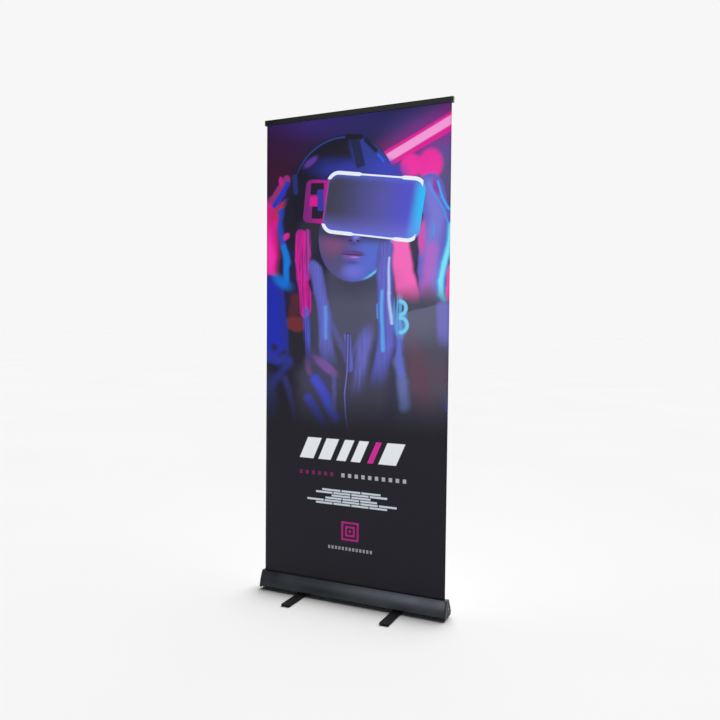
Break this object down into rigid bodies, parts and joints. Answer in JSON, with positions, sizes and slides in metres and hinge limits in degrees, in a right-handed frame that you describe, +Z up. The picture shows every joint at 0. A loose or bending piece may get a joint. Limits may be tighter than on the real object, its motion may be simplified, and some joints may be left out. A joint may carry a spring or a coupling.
{
  "type": "roll-up banner stand",
  "caption": "Free-standing spring-roller banner: a slim cassette base on swivel feet, a wide printed film pulled up to a clamping top rail and held by a telescopic rear pole.",
  "frame": {"origin": "on the floor, under the middle of the base, on the line through both feet's pivots", "axes": "+X along the base to the viewer's right, -Y out of the printed front, +Z up"},
  "size_m": [0.874, 0.348, 2.093],
  "materials": {
    "anodised": "extruded, satin black anodised, fine lines along its length",
    "rail_anodised": "extruded, satin black anodised",
    "cap_plastic": "black moulded ABS, fine spark texture",
    "bright_screw": "bright zinc plated",
    "zinc_steel": "zinc plated",
    "silver_tube": "satin natural anodised tube",
    "nylon": "natural nylon",
    "spring_steel": "oiled spring wire",
    "film": "grey-backed polyester film, plain leader",
    "socket_plastic": "black moulded ABS",
    "foot_black": "black powder coat on flat steel bar",
    "pad_rubber": "thin moulded rubber",
    "collar_plastic": "black moulded nylon, ribbed",
    "hook_plastic": "black moulded nylon",
    "clamp_plastic": "extruded PVC strip",
    "graphic_film": "satin laminated print, dark indigo, violet and magenta artwork; grey block-out back"
  },
  "bodies": {
    "base": {"base_housing": "anodised", "base_end_cap_left": "cap_plastic", "base_end_cap_right": "cap_plastic", "axle_screw_left": "bright_screw", "axle_screw_right": "bright_screw", "roller_axle": "zinc_steel", "torsion_spring": "spring_steel", "spring_anchor": "nylon", "pole_socket": "socket_plastic", "foot_left_pivot_bolt": "zinc_steel", "foot_right_pivot_bolt": "zinc_steel", "foot_left_washer": "nylon", "foot_right_washer": "nylon", "foot_left_nut": "zinc_steel", "foot_right_nut": "zinc_steel"},
    "roller": {"roller_tube": "silver_tube", "spring_plug": "nylon", "idler_plug": "nylon", "leader_wrap": "film"},
    "left_foot": {"foot_left": "foot_black", "foot_left_pad_front": "pad_rubber", "foot_left_pad_rear": "pad_rubber"},
    "right_foot": {"foot_right": "foot_black", "foot_right_pad_front": "pad_rubber", "foot_right_pad_rear": "pad_rubber"},
    "lower_tube": {"pole_lower": "silver_tube", "pole_foot_plug": "collar_plastic"},
    "lower_collar": {"lower_lock_collar": "collar_plastic"},
    "middle_tube": {"pole_middle": "silver_tube", "middle_tube_cam": "nylon"},
    "middle_collar": {"middle_lock_collar": "collar_plastic"},
    "upper_tube": {"pole_upper": "silver_tube", "upper_tube_cam": "nylon", "pole_hook": "hook_plastic"},
    "rail": {"top_rail": "rail_anodised", "rail_clamp_strip": "clamp_plastic", "rail_end_cap_left": "cap_plastic", "rail_end_cap_right": "cap_plastic", "graphic": "graphic_film"}
  },
  "joints": [
    {"name": "foot_left_swivel", "type": "hinge", "parent": "base", "child": "left_foot", "pos_m": [-0.225, 0, 0.0051], "axis": [0, 0, 1], "range_deg": [0, 90]},
    {"name": "foot_right_swivel", "type": "hinge", "parent": "base", "child": "right_foot", "pos_m": [0.225, 0, 0.0051], "axis": [0, 0, 1], "range_deg": [-90, 0]},
    {"name": "pole_lift", "type": "slide", "parent": "base", "child": "lower_tube", "axis": [0, 0, 1], "range_m": [0, 0.042]},
    {"name": "lower_collar_twist", "type": "hinge", "parent": "lower_tube", "child": "lower_collar", "pos_m": [0, 0.03064, 0.7449], "axis": [0, 0, 1], "range_deg": [0, 90]},
    {"name": "pole_middle_slide", "type": "slide", "parent": "lower_tube", "child": "middle_tube", "axis": [0, 0, 1], "range_m": [-0.6, 0]},
    {"name": "middle_collar_twist", "type": "hinge", "parent": "middle_tube", "child": "middle_collar", "pos_m": [0, 0.03064, 1.4034], "axis": [0, 0, 1], "range_deg": [0, 90]},
    {"name": "pole_upper_slide", "type": "slide", "parent": "middle_tube", "child": "upper_tube", "axis": [0, 0, 1], "range_m": [-0.6, 0], "deforming": ["graphic"]},
    {"name": "rail_lift", "type": "slide", "parent": "upper_tube", "child": "rail", "axis": [0, 0, 1], "range_m": [0, 0.015]},
    {"name": "roller_spin", "type": "hinge", "parent": "base", "child": "roller", "pos_m": [0, 0.00445, 0.042], "axis": [1, 0, 0], "range_deg": [0, 5060]}
  ],
  "couplings": [
    {"joint": "pole_middle_slide", "follows": "pole_upper_slide", "ratio": 1},
    {"joint": "roller_spin", "follows": "pole_upper_slide", "rad_per_m": -147}
  ]
}
